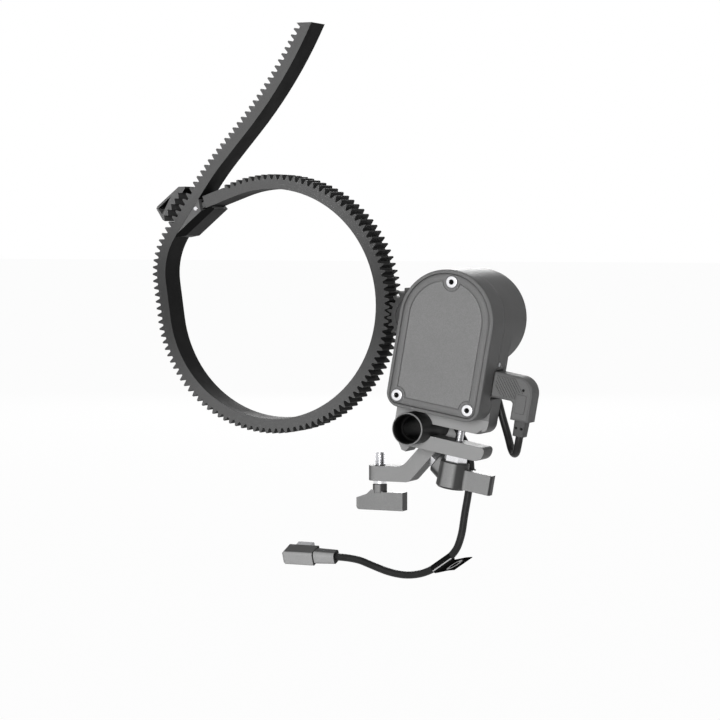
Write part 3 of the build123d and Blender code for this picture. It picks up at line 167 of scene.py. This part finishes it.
class Look:                                       # one material and its shader
    def __init__(self, name, **plain):
        self.material = bpy.data.materials.new(name)
        self.material.use_nodes = True
        self.tree = self.material.node_tree
        self.shader = self.tree.nodes["Principled BSDF"]
        for socket, value in plain.items():
            self.shader.inputs[socket.replace("_", " ")].default_value = value
        self.place = self.node("ShaderNodeTexCoord", out="Object")
        self.normal = self.node("ShaderNodeNewGeometry", out="Normal")

    def node(self, kind, inputs=None, out=0, **settings):
        made = self.tree.nodes.new(kind)
        for key, value in settings.items():
            setattr(made, key, value)
        for key, value in (inputs or {}).items():
            if isinstance(value, Wire):
                self.tree.links.new(value.socket, made.inputs[key])
            else:
                made.inputs[key].default_value = value
        return Wire(self, made.outputs[out])

    def into(self, socket, wire):
        self.tree.links.new(wire.socket, self.shader.inputs[socket])

    def grain(self, size, detail=2, stretch=(1, 1, 1)):   # noise with lumps of size mm
        spread = self.node("ShaderNodeMapping", {"Vector": self.place, "Scale": stretch})
        inputs = {"Vector": spread, "Scale": 1 / (size * mm), "Detail": detail, "Roughness": 0.55}
        return self.node("ShaderNodeTexNoise", inputs)

    def axis(self, vector, wire=None):            # how far along a direction
        return self.node("ShaderNodeVectorMath", {0: wire or self.place, 1: vector}, out="Value",
                         operation="DOT_PRODUCT")

    def blend(self, mask, first, second):         # first where the mask is 0, second where it is 1
        return self.node("ShaderNodeMix", {0: mask, 6: first, 7: second}, out=2, data_type="RGBA")

    def tint(self, mask, colour):                 # lays a colour over what is there already
        before = Wire(self, self.shader.inputs["Base Color"].links[0].from_socket)
        self.into("Base Color", self.blend(mask, before, colour))

    def flatOff(self, centre):                    # from a line along y to here, square to the line
        offset = self.node("ShaderNodeVectorMath", {0: self.place, 1: tuple(centre)}, operation="SUBTRACT")
        return self.node("ShaderNodeVectorMath", {0: offset, 1: (1, 0, 1)}, operation="MULTIPLY")

    def length(self, wire):
        return self.node("ShaderNodeVectorMath", {0: wire}, out="Value", operation="LENGTH")

    def spot(self, centre, radius, blur):         # 1 inside a round spot seen along y, sizes in mm
        return (radius * mm - self.length(self.flatOff(centre))).ease(0, blur * mm)

    def edges(self, radius, gain=6.0):            # rounded normal, and how near an edge is
        rounded = self.node("ShaderNodeBevel", {"Radius": radius * mm}, samples=6)
        flat = self.node("ShaderNodeVectorMath", {0: rounded, 1: self.normal}, out="Value",
                         operation="DOT_PRODUCT")
        return rounded, ((1 - flat) * gain).held()

    def bump(self, height, depth, strength=1.0, over=None):
        inputs = {"Height": height, "Distance": depth * mm, "Strength": strength}
        if over:
            inputs["Normal"] = over
        self.into("Normal", self.node("ShaderNodeBump", inputs))


def grey(level):
    return (level, level, level, 1)


def shade(colour, factor):                        # a colour made lighter or darker
    return tuple(min(1, part * factor) for part in colour[:3]) + (1,)


def dress(look, *names):                          # CAD nodes take this material
    for name in names:
        body = nodes[name]
        body.data.materials.clear()
        body.data.materials.append(look.material)


def mouldedPlastic(name, base, edge, rough=0.5, grainSize=0.25, bumpDepth=0.02, radius=0.35, gloss=0.25,
                   flankShade=None, flankFrom=0.75, flankTo=0.97):
    # tones of the faces, the edges and the flanks, which are the faces turned from the front; sizes in mm;
    # the edge tone is painted light along the edges and the flank tone is painted shade
    look = Look(name, Roughness=rough, Specular_IOR_Level=gloss)
    rounded, near = look.edges(radius)
    fine = look.grain(grainSize, 3)
    cloud = look.grain(9.0, 2)
    tone = look.blend(fine.ease(0.35, 0.65), grey(base * 0.92), grey(base * 1.08))
    tone = look.blend((cloud - 0.35) * 0.5, tone, grey(base * 0.8))
    # painted light along the edges: an edge tone lighter than the base is a painted highlight, a darker one
    # is painted shade
    look.into("Base Color", look.blend(near * 0.7, tone, grey(edge)))
    look.into("Roughness", (rough + (cloud - 0.5) * 0.12 + (fine - 0.5) * 0.1).held())
    look.bump(fine, bumpDepth, 0.35, rounded)
    if flankShade:
        # painted shade on the faces turned from the front lamp
        look.tint(1 - look.axis((0, -1, 0), look.normal).ease(flankFrom, flankTo), grey(flankShade))
    return look


def metal(name, colour, rough, streak=(1, 1, 1), grainSize=0.2, radius=0.15):
    look = Look(name, Metallic=1.0, Roughness=rough)
    rounded, near = look.edges(radius, 4)
    lines = look.grain(grainSize, 3, streak)
    cloud = look.grain(4.0, 2)
    tone = look.blend(lines.ease(0.3, 0.7), shade(colour, 0.86), colour)
    tone = look.blend((cloud - 0.45).held(), tone, shade(colour, 0.7))
    # painted highlight: the edges are painted lighter
    look.into("Base Color", look.blend(near * 0.5, tone, shade(colour, 1.15)))
    look.into("Roughness", (rough + (lines - 0.5) * 0.14 + (cloud - 0.5) * 0.1).held())
    look.bump(lines, 0.006, 0.5, rounded)
    return look


def placed(mesh, name, body, look, node, matrix):   # a finished bmesh takes a CAD node's place
    bmesh.ops.transform(mesh, matrix=matrix, verts=mesh.verts)
    bmesh.ops.recalc_face_normals(mesh, faces=mesh.faces)
    data = bpy.data.meshes.new(name)
    mesh.to_mesh(data)
    mesh.free()
    data.materials.append(look.material)
    piece = bpy.data.objects.new(name, data)
    scene.collection.objects.link(piece)
    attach(piece, body)
    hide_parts(node)
    return piece


def addThread(mesh, radius, pitch, low, high, depth):
    # one turn's ridge is spun into a helix, cut level at both ends and closed
    ridge = bmesh.new()
    corners = [ridge.verts.new((radius - inset, 0, low - pitch + rise * pitch))
               for inset, rise in ((depth, 0), (depth, 0.1), (0, 0.42), (0, 0.6), (depth, 0.92))]
    corners.append(ridge.verts.new((radius - depth, 0, low)))
    sides = [ridge.edges.new(pair) for pair in zip(corners, corners[1:])]
    turns, around = int((high - low) / pitch) + 2, 28
    bmesh.ops.spin(ridge, geom=corners + sides, cent=(0, 0, 0), axis=(0, 0, 1), dvec=(0, 0, pitch / around),
                   angle=math.tau * turns, steps=around * turns, use_merge=False)
    bmesh.ops.remove_doubles(ridge, verts=ridge.verts, dist=0.002)
    for height, way in ((low, -1), (high, 1)):
        bmesh.ops.bisect_plane(ridge, geom=ridge.verts[:] + ridge.edges[:] + ridge.faces[:], dist=1e-4,
                               plane_co=(0, 0, height), plane_no=(0, 0, way), clear_outer=True)
    bmesh.ops.holes_fill(ridge, edges=[edge for edge in ridge.edges if edge.is_boundary])
    whole = bpy.data.meshes.new("threadTurns")
    ridge.to_mesh(whole)
    ridge.free()
    mesh.from_mesh(whole)
    bpy.data.meshes.remove(whole)


def addTurned(mesh, outline):                     # a closed outline of (radius, height) turned about z
    points = [mesh.verts.new((radius, 0, height)) for radius, height in outline]
    sides = [mesh.edges.new(pair) for pair in zip(points, points[1:])]
    bmesh.ops.spin(mesh, geom=points + sides, cent=(0, 0, 0), axis=(0, 0, 1), angle=math.tau, steps=48,
                   use_merge=True)
    bmesh.ops.remove_doubles(mesh, verts=mesh.verts, dist=0.001)


belt = {                                          # tones, and sizes in mm
    "side": 0.145, "sideShaded": 0.5, "teeth": 0.04, "back": 0.006, "edgeHighlight": 0.2, "rough": 0.62,
    "tailFrom": 49.5, "tailBackFaces": (0.86, 0, -0.51), "speck": 0.35, "smear": 7.0, "edge": 0.16,
}
beltRubber = Look("beltRubber", Roughness=belt["rough"], Specular_IOR_Level=0.05)
rounded, near = beltRubber.edges(belt["edge"])
sideways = abs(beltRubber.axis((0, 1, 0), beltRubber.normal)).ease(0.45, 0.8)
fromAxis = beltRubber.flatOff(lensAxis)
outwards = beltRubber.node("ShaderNodeVectorMath", {0: fromAxis}, operation="NORMALIZE")
onTail = beltRubber.length(fromAxis).ease(belt["tailFrom"] * mm, (belt["tailFrom"] + 0.5) * mm)
ringBack = beltRubber.axis(beltRubber.normal, outwards) < -0.6
tailBack = beltRubber.axis(belt["tailBackFaces"], beltRubber.normal) > 0.55
isBack = (ringBack * (1 - onTail) + tailBack * onTail).held()
speck = beltRubber.grain(belt["speck"], 3)
smear = beltRubber.grain(belt["smear"], 3)
ringTopBottom = abs(beltRubber.axis((0, 0, 1), outwards)).ease(0.1, 0.95)
unshadedParts = (ringTopBottom + onTail).held()                # painted shade: the ring's left and right sides are darker, its top, bottom and tail keep the full side tone
sideTone = beltRubber.blend(unshadedParts, grey(belt["side"] * belt["sideShaded"]), grey(belt["side"]))
tone = beltRubber.blend(sideways, grey(belt["teeth"]), sideTone)
# the inner faces are painted near-black: the rubber's own dark back, and painted shade where they face down
# into the ring
tone = beltRubber.blend(isBack * (1 - sideways), tone, grey(belt["back"]))
tone = beltRubber.blend((speck - 0.45).held() * 0.9, tone, grey(belt["teeth"] * 0.8))
# painted highlight: the edges of the belt's faces are painted lighter
tone = beltRubber.blend(near * (1 - isBack) * 0.35, tone, grey(belt["edgeHighlight"]))
beltRubber.into("Base Color", tone)
beltRubber.into("Roughness", (belt["rough"] + (smear - 0.5) * 0.25 + (speck - 0.5) * 0.15).held())
beltRubber.bump(speck + smear * 0.4, 0.02, 0.4, rounded)
dress(beltRubber, "gear_belt")

buckle = {"base": 0.175, "edge": 0.2, "gloss": 0.05}
buckleInsideShade = {"faces": (0.652, 0, -0.758), "tone": 0.006}
bucklePlastic = mouldedPlastic("bucklePlastic", **buckle)
# painted shade: the faces turned down towards the lens are painted near-black
insideShade = bucklePlastic.axis(buckleInsideShade["faces"], bucklePlastic.normal).ease(0.4, 0.7)
bucklePlastic.tint(insideShade, grey(buckleInsideShade["tone"]))
dress(bucklePlastic, "buckle")
print("belt dressed")

# the flank tone is painted shade on the sides, the edge tone a painted highlight
frontCase = {"base": 0.21, "edge": 0.23, "rough": 0.42, "grainSize": 0.18, "bumpDepth": 0.012,
             "radius": 2.6, "gloss": 0.07, "flankShade": 0.15, "flankFrom": 0.1, "flankTo": 0.5}
dress(mouldedPlastic("caseGrey", **frontCase), "front_case", "front_cover")

panel = {"base": 0.25, "edge": 0.3, "grainSize": 0.3, "radius": 0.12, "gloss": 0.1}
dress(mouldedPlastic("panelGrey", **panel), "label_panel")

screws = {"colour": (0.86, 0.86, 0.88, 1), "at": ((0, 13.4), (-13.4, -29.1), (13.4, -29.1)), "socket": 1.0}
socketSteel = metal("socketSteel", screws["colour"], 0.3)
for u, v in screws["at"]:                         # painted shade in the hole of each head's socket
    socketSteel.tint(socketSteel.spot(unitPoint(u, v, 0), screws["socket"], 0.15), grey(0.01))
dress(socketSteel, "cover_screws")
screwSteel = metal("screwSteel", screws["colour"], 0.24)
dress(screwSteel, "cap_screws", "buckle_pin", "front_clamp_bolt", "rear_clamp_bolt", "front_collar",
      "rear_collar", "base_stud", "usb_socket")

insides = {"steel": (0.6, 0.6, 0.61, 1), "bronze": (0.62, 0.42, 0.2, 1), "plugs": (0.3, 0.3, 0.31, 1)}
dress(metal("motorSteel", insides["steel"], 0.38, (1, 0.05, 1)), "gearbox", "motor_can", "motor_shaft",
      "drive_shaft")
dress(metal("bushBronze", insides["bronze"], 0.45), "shaft_bushes")
dress(metal("plugSteel", insides["plugs"], 0.45), "angled_plug_shell", "straight_plug_shell")

gears = {"base": 0.05, "edge": 0.14, "rough": 0.45, "grainSize": 0.2, "bumpDepth": 0.01, "radius": 0.12}
dress(mouldedPlastic("gearBlack", **gears), "drive_gear", "motor_pinion")

board = {"mask": (0.012, 0.11, 0.04, 1), "track": (0.03, 0.2, 0.07, 1), "dust": (0.25, 0.2, 0.08, 1)}
boardGreen = Look("boardGreen", Roughness=0.35)
tracks = boardGreen.node("ShaderNodeTexBrick", {"Vector": boardGreen.place, "Scale": 260.0}, out="Fac")
dust = boardGreen.grain(0.4, 3)
tone = boardGreen.blend(tracks, board["mask"], board["track"])
boardGreen.into("Base Color", boardGreen.blend((dust - 0.5).held(), tone, board["dust"]))
boardGreen.bump(tracks, 0.04, 0.6)
dress(boardGreen, "circuit_board")

indicator = {"dim": (0.5, 0.52, 0.55, 1), "bright": (0.8, 0.82, 0.85, 1)}
lightLens = Look("lightLens", Roughness=0.2)
haze = lightLens.grain(0.3, 2)
lightLens.into("Base Color", lightLens.blend(haze, indicator["dim"], indicator["bright"]))
dress(lightLens, "indicator_lens")
print("motor unit dressed")

tube = {"centre": (0.023263, 0, 0.015918), "rim": 5.4, "mouth": 5.1, "dark": 0.016, "light": 0.024,
        "insideShade": 0.004, "rimHighlight": 0.5}
tubeBlack = Look("tubeBlack", Roughness=0.4, Specular_IOR_Level=0.08)
rounded = tubeBlack.edges(0.1)[0]
fromTube = tubeBlack.length(tubeBlack.flatOff(tube["centre"]))
ends = abs(tubeBlack.axis((0, 1, 0), tubeBlack.normal)).ease(0.6, 0.8) * (fromTube > tube["rim"] * mm)
turned = tubeBlack.grain(0.25, 2, (1, 4, 1))
tone = tubeBlack.blend(turned.ease(0.3, 0.7), grey(tube["dark"]), grey(tube["light"]))
# painted shade inside the bore
tone = tubeBlack.blend(fromTube < tube["mouth"] * mm, tone, grey(tube["insideShade"]))
# painted highlight on the outer rim of each end
tubeBlack.into("Base Color", tubeBlack.blend(ends, tone, grey(tube["rimHighlight"])))
tubeBlack.into("Roughness", (0.42 - ends * 0.15 + (turned - 0.5) * 0.1).held())
tubeBlack.bump(turned, 0.005, 0.5, rounded)
dress(tubeBlack, "tube")

# the flank tone is painted shade on the sides, the edge tone painted shade along the edges
arm = {"base": 0.36, "edge": 0.14, "rough": 0.42, "grainSize": 0.2, "bumpDepth": 0.012, "radius": 0.3,
       "gloss": 0.06, "flankShade": 0.17}
dress(mouldedPlastic("armGrey", **arm), "arm")

# the flank tone is painted shade on the sides, the edge tone painted shade along the edges
knobs = {"base": 0.31, "edge": 0.10, "rough": 0.34, "grainSize": 0.3, "radius": 0.3, "gloss": 0.1,
         "flankShade": 0.06, "flankFrom": 0.84}
dress(mouldedPlastic("knobPlastic", **knobs), "front_wing_knob", "rear_wing_knob", "base_wing_knob")
print("carrier dressed")

stud = {                                          # M4 thumb screw, in mm from the arm's top face
    "radius": 2.0, "pitch": 0.7, "depth": 0.38, "reach": 5.0, "neckRadius": 1.6, "neckTop": 0.3,
    "flangeRadius": 2.4, "flangeTop": -5.5, "flangeLow": -6.9, "round": 0.2,
    "rootRadius": 1.5, "rootLow": -13.4,
    "threadShort": 0.5, "plainShort": (0.7, 0.3), "tipRadius": 1.3, "tipShort": 0.05,   # below the reach
}
studMesh = bmesh.new()
addTurned(studMesh, [
    (0, stud["rootLow"]), (stud["rootRadius"], stud["rootLow"]), (stud["rootRadius"], stud["flangeLow"]),
    (stud["flangeRadius"] - stud["round"], stud["flangeLow"]),
    (stud["flangeRadius"], stud["flangeLow"] + stud["round"]), (stud["flangeRadius"], stud["flangeTop"]),
    (stud["neckRadius"], stud["flangeTop"]), (stud["neckRadius"], stud["neckTop"]), (0, stud["neckTop"]),
])
addThread(studMesh, stud["radius"], stud["pitch"], 0.0, stud["reach"] - stud["threadShort"], stud["depth"])
core = stud["radius"] - stud["depth"]
plainLow, plainTop = (stud["reach"] - short for short in stud["plainShort"])
tip = stud["reach"] - stud["tipShort"]
addTurned(studMesh, [(0, plainLow), (core, plainLow), (core, plainTop), (stud["tipRadius"], tip), (0, tip)])
placed(studMesh, "studThread", "base_knob", screwSteel, "base_stud", millimetres)

bolt = {"radius": 1.5, "pitch": 0.5, "depth": 0.27, "head": 8.0}   # M3 clamp bolts, in mm
bolts = {                                         # body, seat, way along the bolt, reach
    "frontBoltThread": ("front_knob", unitPoint(6.0, -47.7, 6.25), -unitUp, 12.3),
    "rearBoltThread": ("rear_knob", Vector((0.0221007, 0, 0.0043361)), Vector((0.73491, 0, -0.67816)),
                       12.8),
}
for name, (body, seat, down, reach) in bolts.items():
    boltMesh = bmesh.new()
    addThread(boltMesh, bolt["radius"], bolt["pitch"], -reach, bolt["head"], bolt["depth"])
    across = Vector((0, 1, 0))
    turn = Matrix((across.cross(down), across, down)).transposed().to_4x4()
    placed(boltMesh, name, body, screwSteel, body.replace("knob", "clamp_bolt"),
           Matrix.Translation(seat) @ turn @ millimetres)
print("threads cut")

cableRubber = Look("cableRubber", Roughness=cable["rough"], Specular_IOR_Level=cable["gloss"])
speck = cableRubber.grain(0.3, 3)
smear = cableRubber.grain(5.0, 2)
tone = cableRubber.blend(smear.ease(0.3, 0.7), grey(cable["dark"]), grey(cable["light"]))
cableRubber.into("Base Color", tone)
cableRubber.into("Roughness", (cable["rough"] + (smear - 0.5) * 0.2 + (speck - 0.5) * 0.1).held())
cableRubber.bump(speck, 0.004, 0.3)
cableCurve.materials.append(cableRubber.material)

plug = {"base": 0.17, "edge": 0.012, "radius": 0.2, "gloss": 0.1}
boot = {"base": 0.10, "edge": 0.04, "radius": 0.3, "gloss": 0.1}
# the flank tone is painted shade on the sides and top, the edge tone painted shade along the edges
straightPlug = {"base": 0.46, "edge": 0.1, "radius": 0.3, "gloss": 0.05, "flankShade": 0.02, "flankFrom": 0.2,
                "flankTo": 0.7}
holeShade = {                                          # painted shade standing in for small holes, at u and v in mm
    "plug": (28.6, -19.6), "boot": ((27.7, -33.1), (29.7, -33.1)), "radius": 0.6, "blur": 0.2,
    "tone": 0.006,
}
plugPlastic = mouldedPlastic("plugPlastic", **plug)
# painted shade for the plug's hole
spot = plugPlastic.spot(unitPoint(*holeShade["plug"], 0), holeShade["radius"], holeShade["blur"])
plugPlastic.tint(spot, grey(holeShade["tone"]))
dress(plugPlastic, "angled_plug_body")
bootRubber = mouldedPlastic("bootRubber", **boot)
bootFront = bootRubber.axis((0, -1, 0), bootRubber.normal) > 0.3
# painted shade for the boot's holes, on its front faces
for u, v in holeShade["boot"]:
    spot = bootRubber.spot(unitPoint(u, v, 0), holeShade["radius"], holeShade["blur"])
    bootRubber.tint(spot * bootFront, grey(holeShade["tone"]))
dress(bootRubber, "angled_plug_boot")
dress(mouldedPlastic("straightPlastic", **straightPlug), "straight_plug_body")

tag = {                                           # sleeve round the cable and a flag behind it, in mm
    "long": 8.7, "inner": 1.38, "outer": 1.62, "reach": 16.0, "thick": 0.24, "steps": 16,
    "sag": 1.0, "wave": 0.06, "ripples": 7,
    "ovalAlong": 3.3, "ovalBack": 3.6, "ovalAt": 0.52, "lineAt": 0.8, "lineWidth": 0.22, "lineTone": 0.95,
    "lapAt": 0.6, "lapWidth": 0.26, "lapTone": 0.6,
}
tagLook = {"base": 0.012, "edge": 0.03, "rough": 0.6, "grainSize": 2.5, "bumpDepth": 0.01, "radius": 0.05,
           "gloss": 0.0}
tagFrom, tagTo = (Vector(cable["route"][i]) * mm for i in (17, 18))
tagAlong = (tagTo - tagFrom).normalized()
tagSide = Vector((-tagAlong.z, 0, tagAlong.x))
tagMiddle = (tagFrom + tagTo) / 2
tagTurn = Matrix((tagSide, tagAlong.cross(tagSide), tagAlong)).transposed().to_4x4()   # its y is forwards
tagMesh = bmesh.new()
bmesh.ops.create_cube(tagMesh, size=1)
bmesh.ops.scale(tagMesh, vec=(tag["thick"], tag["reach"], tag["long"]), verts=tagMesh.verts)
bmesh.ops.subdivide_edges(tagMesh, cuts=tag["steps"] - 1, use_grid_fill=True, edges=[
    edge for edge in tagMesh.edges if edge.calc_length() == tag["reach"]])
for vert in tagMesh.verts:                        # the flag hangs lower the further back it is
    part = 0.5 - vert.co.y / tag["reach"]
    sag = tag["sag"] * part ** 1.4 + tag["wave"] * math.sin(part * tag["ripples"])
    vert.co += Vector((tag["outer"] - tag["thick"] / 2 + sag, -tag["reach"] / 2, 0))
half = tag["long"] / 2
addTurned(tagMesh, [(tag["inner"], -half), (tag["outer"], -half), (tag["outer"], half),
                    (tag["inner"], half), (tag["inner"], -half)])

tagFilm = mouldedPlastic("tagFilm", **tagLook)
ovalMiddle = tagMiddle + Vector((0, tag["reach"] * tag["ovalAt"] * mm, 0))
along = tagFilm.axis(tuple(tagAlong)) - tagAlong.dot(ovalMiddle)
behind = tagFilm.axis((0, 1, 0)) - ovalMiddle.y
oval = ((along / (tag["ovalAlong"] * mm)) ** 2 + (behind / (tag["ovalBack"] * mm)) ** 2) ** 0.5
line = (1 - abs(oval - tag["lineAt"]) / tag["lineWidth"]).held().ease(0, 0.3)
outside = tagFilm.axis(tuple(tagSide), tagFilm.normal) > 0.5
tagFilm.tint(line * outside, grey(tag["lineTone"]))
# painted highlight along the edge of the sleeve's lap
overSleeve = tagFilm.axis(tuple(tagSide)) - tagSide.dot(tagMiddle) - tag["lapAt"] * mm
lapHighlight = (1 - abs(overSleeve) / (tag["lapWidth"] * mm)).held().ease(0, 0.5)
inFront = tagFilm.axis((0, -1, 0)) > mm - tagMiddle.y
tagFilm.tint(lapHighlight * inFront, grey(tag["lapTone"]))
tagFlag = placed(tagMesh, "tagFlag", "motor_unit", tagFilm, "cable_tag",
                 Matrix.Translation(tagMiddle) @ tagTurn @ millimetres)

print("cable dressed")

# the flank tone is painted shade on the sides, the edge tone painted shade along the edges
rearCase = {"base": 0.21, "edge": 0.15, "rough": 0.42, "grainSize": 0.18, "bumpDepth": 0.012, "radius": 0.4,
            "gloss": 0.07, "flankShade": 0.15}
foot = {                                          # u, v and depths in mm; its front faces are painted lighter, painted light from the front lamp
    "corner": (17.5, -38.25), "front": 2.0, "back": 10.5, "round": 4.0, "top": -33.0, "tone": 0.37,
}
rearGrey = mouldedPlastic("rearGrey", **rearCase)
belowTop = rearGrey.axis(tuple(unitUp)) < archCentre.dot(unitUp) + foot["top"] * mm
facesFront = rearGrey.axis((0, -1, 0), rearGrey.normal) > 0.8
# painted light on the foot's front faces
rearGrey.tint(belowTop * facesFront * 0.9, grey(foot["tone"]))
dress(rearGrey, "rear_case", "rear_cap")

# the foot's lower right corner is rounded on a merged copy of the rear case
caseMesh = bmesh.new()
caseMesh.from_mesh(nodes["rear_case"].data)
bmesh.ops.remove_doubles(caseMesh, verts=caseMesh.verts, dist=1e-6)
bmesh.ops.dissolve_limit(caseMesh, angle_limit=0.002, verts=caseMesh.verts, edges=caseMesh.edges)
cornerEnds = [unitPoint(*foot["corner"], foot[side]) for side in ("front", "back")]
cornerEdges = [edge for edge in caseMesh.edges
               if all(min((vert.co - end).length for vert in edge.verts) < 2e-5 for end in cornerEnds)]
bmesh.ops.bevel(caseMesh, geom=cornerEdges, offset=foot["round"] * mm, offset_type="OFFSET", segments=10,
                profile=0.5, affect="EDGES", material=-1, clamp_overlap=False)
bmesh.ops.triangulate(caseMesh, faces=[face for face in caseMesh.faces if len(face.verts) > 4])
openEdges = sum(edge.is_boundary for edge in caseMesh.edges)
print("foot rounded on", len(cornerEdges), "edge, open edges", openEdges)
placed(caseMesh, "rearCaseRounded", "motor_unit", rearGrey, "rear_case", Matrix.Identity(4))

studio = {                                        # lamps have a place, a size and watts
    "drop": 0.012, "sheet": 6, "floor": 0.93, "seenWhite": 0.97, "sky": 0.04, "aim": (0, 0, 0.05),
    "lamps": {
        "keyLamp": ((0.277, -1.113, 0.13), 0.4, 9.8),
        "fillLamp": ((0.9, -0.6, 0.2), 0.8, 0.05),
        "backLamp": ((-0.45, 1.0, 0.35), 0.5, 4.0),
    },
}
sheet = bmesh.new()
bmesh.ops.create_grid(sheet, x_segments=2, y_segments=2, size=studio["sheet"])
floorPlace = (0, studio["sheet"] / 2, cadBounds[0][2] - studio["drop"])
bmesh.ops.translate(sheet, verts=sheet.verts, vec=floorPlace)
floorMesh = bpy.data.meshes.new("studioFloor")
sheet.to_mesh(floorMesh)
sheet.free()
studioFloor = bpy.data.objects.new("studioFloor", floorMesh)
scene.collection.objects.link(studioFloor)


def seenDirectly(look):                           # camera, mirror and glass rays
    seen, glossy, through = (look.node("ShaderNodeLightPath", out=name) for name in
                             ("Is Camera Ray", "Is Glossy Ray", "Is Transmission Ray"))
    return (seen + glossy + through).held()


floorPaint = Look("floorPaint", Roughness=0.9, Base_Color=grey(studio["floor"]))
glow = floorPaint.node("ShaderNodeEmission", {"Color": grey(1), "Strength": 1.0})
mix = floorPaint.node("ShaderNodeMixShader", {0: seenDirectly(floorPaint) * studio["seenWhite"],
                                              1: Wire(floorPaint, floorPaint.shader.outputs[0]), 2: glow})
floorPaint.tree.links.new(mix.socket, floorPaint.tree.nodes["Material Output"].inputs["Surface"])
floorMesh.materials.append(floorPaint.material)

scene.world = bpy.data.worlds.new("studioWorld")
scene.world.use_nodes = True


class Sky(Look):                                  # the same sums on the world's shader
    def __init__(self, world):
        self.tree = world.node_tree
        self.shader = self.tree.nodes["Background"]


sky = Sky(scene.world)
sky.shader.inputs["Color"].default_value = grey(1)
sky.into("Strength", studio["sky"] + seenDirectly(sky) * (1 - studio["sky"]))

for name, (place, size, watts) in studio["lamps"].items():
    data = bpy.data.lights.new(name, "AREA")
    data.shape = "DISK"
    data.size = size
    data.energy = watts
    lamp = bpy.data.objects.new(name, data)
    scene.collection.objects.link(lamp)
    lamp.location = place
    lamp.rotation_euler = (Vector(studio["aim"]) - Vector(place)).to_track_quat("-Z", "Y").to_euler()
scene.view_settings.view_transform = "Standard"
print("studio lit")
